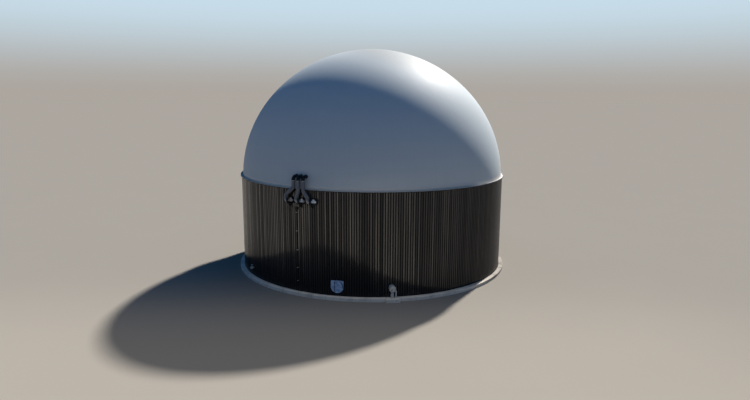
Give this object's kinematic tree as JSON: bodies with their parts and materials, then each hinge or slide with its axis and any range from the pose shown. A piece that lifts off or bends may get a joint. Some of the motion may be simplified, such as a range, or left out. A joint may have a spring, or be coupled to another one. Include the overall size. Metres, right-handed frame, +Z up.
{
  "type": "biogas digester",
  "caption": "Round insulated steel digester tank on a concrete slab, closed by an air-held membrane gas dome, with support-air blowers, manway and outlet.",
  "frame": {"origin": "centre of the underside of the foundation slab, on the tank's axis, at ground level", "axes": "+Z up along the tank's axis, -Y towards the side that the picture shows, +X to the right of that side"},
  "size_m": [26.16, 26.3579, 20.72],
  "materials": {
    "concrete": "weathered cast concrete",
    "glass_lined_steel": "dark blue glass-fused steel",
    "black_sheet": "glossy black coated trapezoidal sheet",
    "galvanised": "dull galvanised flashing",
    "white_membrane": "satin coated polyester membrane",
    "grey_hose": "matt spiral-wound hose",
    "black_plastic": "black moulded plastic",
    "black_paint": "satin black paint",
    "motor_grey": "light grey paint",
    "blue_film": "pale blue protective film",
    "pipe_steel": "pickled stainless steel"
  },
  "bodies": {
    "root": {"foundation_slab": "concrete", "pipe_plinth": "concrete", "shell_wall_1": "glass_lined_steel", "shell_wall_2": "glass_lined_steel", "shell_wall_3": "glass_lined_steel", "shell_wall_4": "glass_lined_steel", "cladding_1": "black_sheet", "cladding_2": "black_sheet", "cladding_3": "black_sheet", "cladding_4": "black_sheet", "cladding_5": "black_sheet", "cladding_6": "black_sheet", "rim_flashing_1": "galvanised", "rim_flashing_2": "galvanised", "rim_flashing_3": "galvanised", "rim_flashing_4": "galvanised", "dome_gore_1": "white_membrane", "dome_gore_2": "white_membrane", "dome_gore_3": "white_membrane", "dome_gore_4": "white_membrane", "dome_gore_5": "white_membrane", "dome_gore_6": "white_membrane", "dome_crown": "white_membrane", "dome_elbow_1": "black_plastic", "dome_elbow_2": "black_plastic", "dome_elbow_3": "black_plastic", "air_hose_1": "grey_hose", "air_hose_2": "grey_hose", "air_hose_3": "grey_hose", "blower_1": "black_paint", "blower_2": "black_paint", "blower_3": "black_paint", "blower_motor_1": "motor_grey", "blower_motor_2": "motor_grey", "blower_motor_3": "motor_grey", "blower_bracket_1": "black_paint", "blower_bracket_2": "black_paint", "blower_bracket_3": "black_paint", "cable_conduit": "black_plastic", "manway_neck": "pipe_steel", "manway_cover": "pipe_steel", "manway_film": "blue_film", "outlet_tee": "pipe_steel", "drain_pipe": "pipe_steel", "side_pipe": "pipe_steel", "sampling_valve": "pipe_steel"}
  },
  "joints": []
}
